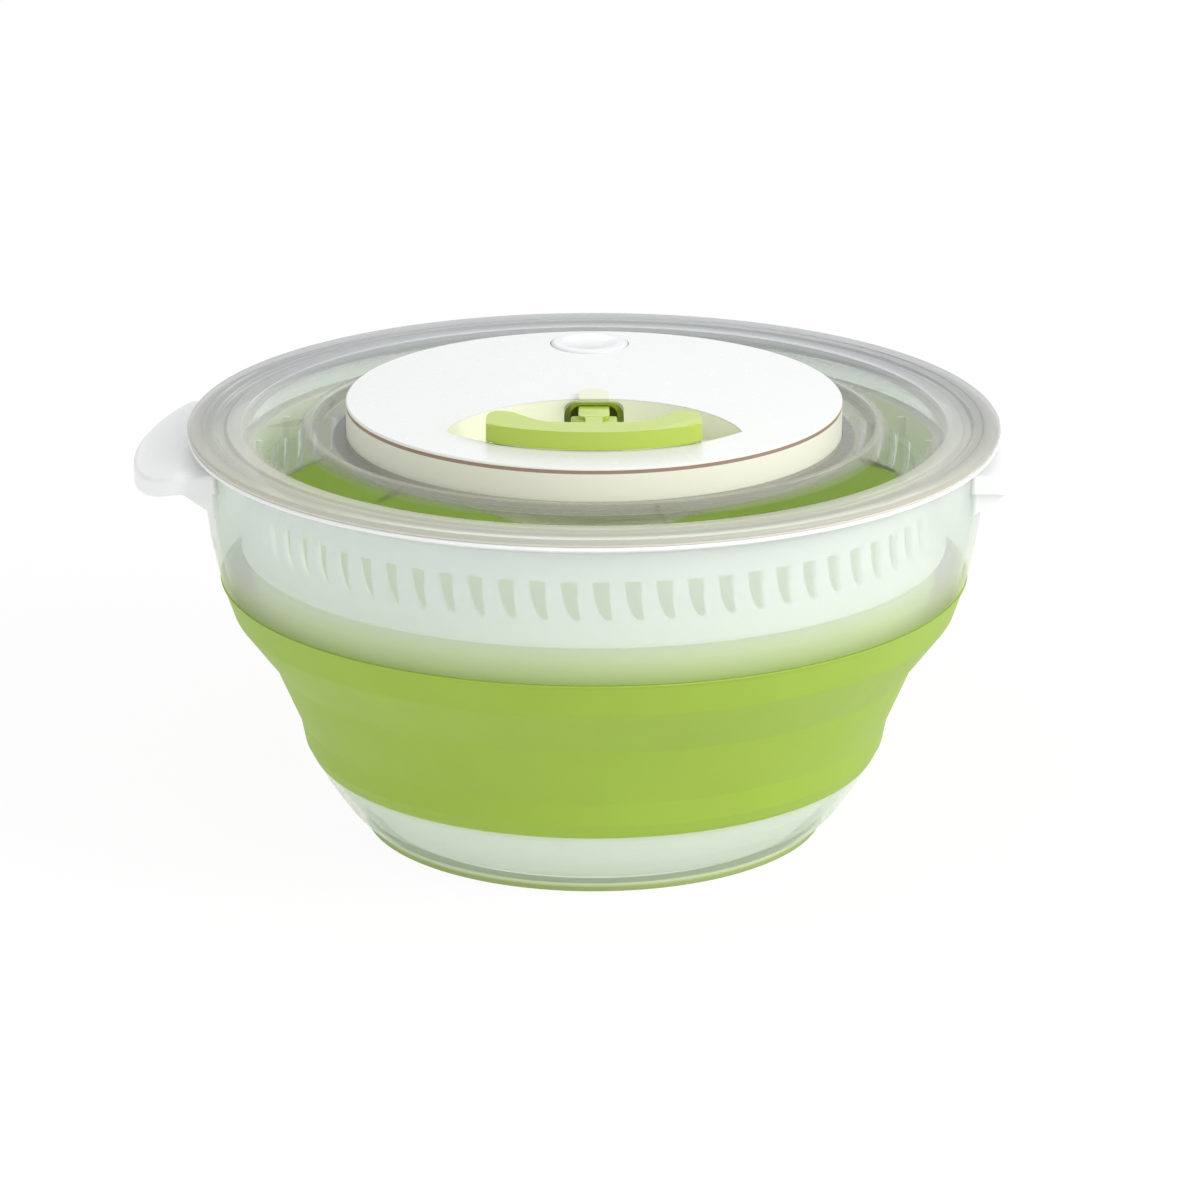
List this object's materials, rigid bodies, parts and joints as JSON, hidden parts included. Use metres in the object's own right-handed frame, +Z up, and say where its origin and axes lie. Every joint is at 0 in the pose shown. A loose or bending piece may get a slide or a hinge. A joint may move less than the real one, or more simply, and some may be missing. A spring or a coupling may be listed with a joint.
{
  "type": "salad spinner",
  "caption": "Collapsible salad spinner: folding bowl and basket, clear lid with a pull cord drive under a round cover, and two side ears to hold it by.",
  "frame": {"origin": "centre of the foot ring, on the surface the bowl stands on", "axes": "+Z up along the spinning axis, X along the two ears, -Y towards the pull handle"},
  "size_m": [0.295, 0.26, 0.147],
  "materials": {
    "frosted": "satin",
    "foot_green": "matte",
    "bellows_green": "satin",
    "basket_green": "satin",
    "white_plastic": "satin",
    "basket_white": "satin",
    "clear_lid": "clear",
    "seal_tan": "matte",
    "seal_grey": "matte",
    "housing_cream": "satin",
    "cover_white": "gloss",
    "trim_brown": "satin",
    "steel": "satin",
    "brass": "satin",
    "cord": "braided",
    "handle_green": "satin",
    "tab_cream": "satin",
    "guide_green": "satin",
    "disc_clear": "clear",
    "grey_plastic": "satin",
    "button_translucent": "satin",
    "rubber": "matte"
  },
  "bodies": {
    "base": {"bowl_base": "frosted", "foot_ring": "foot_green"},
    "rim": {"bowl_rim": "frosted", "bowl_bellows": "bellows_green"},
    "pivot": {"pivot_cup": "white_plastic"},
    "basket_lower": {"basket_base": "basket_white"},
    "basket_upper": {"basket_ring": "basket_white", "basket_bellows": "basket_green"},
    "lid": {"lid_shell": "clear_lid", "lid_seal": "seal_tan", "housing_gasket": "seal_grey", "housing_base": "housing_cream", "housing_cover": "cover_white", "cover_trim_ring": "trim_brown", "housing_screws": "steel", "cord_guide": "guide_green", "guide_tab": "tab_cream", "cord_eyelet": "steel", "shaft_bushing": "brass", "pull_cord": "cord"},
    "handle": {"pull_handle": "handle_green", "cord_ferrule": "steel"},
    "spool": {"cord_spool": "white_plastic", "cord_winding": "cord", "recoil_spring": "steel"},
    "drive": {"drive_shaft": "steel", "clutch_hub": "grey_plastic", "clutch_rollers": "steel", "clutch_cap": "grey_plastic", "cap_screw": "steel", "shaft_clip": "steel", "drive_disc": "disc_clear", "disc_screw": "steel"},
    "brake": {"brake_button": "button_translucent", "brake_stem": "white_plastic", "brake_pad": "rubber", "brake_spring": "steel"}
  },
  "joints": [
    {"name": "bowl_collapse", "type": "slide", "parent": "base", "child": "rim", "axis": [0, 0, 1], "range_m": [-0.055, 0], "deforming": ["bowl_bellows"]},
    {"name": "lid_lift", "type": "slide", "parent": "rim", "child": "lid", "axis": [0, 0, 1], "range_m": [0, 0.26]},
    {"name": "basket_lift", "type": "slide", "parent": "base", "child": "pivot", "axis": [0, 0, 1], "range_m": [0, 0.13]},
    {"name": "basket_spin", "type": "hinge", "parent": "pivot", "child": "basket_lower", "pos_m": [0, 0, 0.012], "axis": [0, 0, 1], "continuous": true},
    {"name": "basket_collapse", "type": "slide", "parent": "basket_lower", "child": "basket_upper", "axis": [0, 0, 1], "range_m": [-0.055, 0], "deforming": ["basket_bellows"]},
    {"name": "drive_spin", "type": "hinge", "parent": "lid", "child": "drive", "pos_m": [0, 0, 0.116], "axis": [0, 0, 1], "continuous": true},
    {"name": "handle_pull", "type": "slide", "parent": "lid", "child": "handle", "axis": [0, -1, 0], "range_m": [0, 0.34], "stiffness_N_per_m": 12, "springref_m": -0.3},
    {"name": "spool_spin", "type": "hinge", "parent": "lid", "child": "spool", "pos_m": [0, 0, 0.12], "axis": [0, 0, 1], "range_deg": [0, 1160], "deforming": ["recoil_spring"]},
    {"name": "brake_press", "type": "slide", "parent": "lid", "child": "brake", "axis": [0, 0, -1], "range_m": [0, 0.0024], "stiffness_N_per_m": 900, "springref_m": -0.002, "deforming": ["brake_spring"]}
  ],
  "couplings": [
    {"joint": "basket_lift", "follows": "lid_lift", "ratio": 0.5},
    {"joint": "basket_collapse", "follows": "bowl_collapse", "ratio": 1},
    {"joint": "drive_spin", "follows": "basket_spin", "ratio": 1},
    {"joint": "spool_spin", "follows": "handle_pull", "rad_per_m": 58.8}
  ]
}
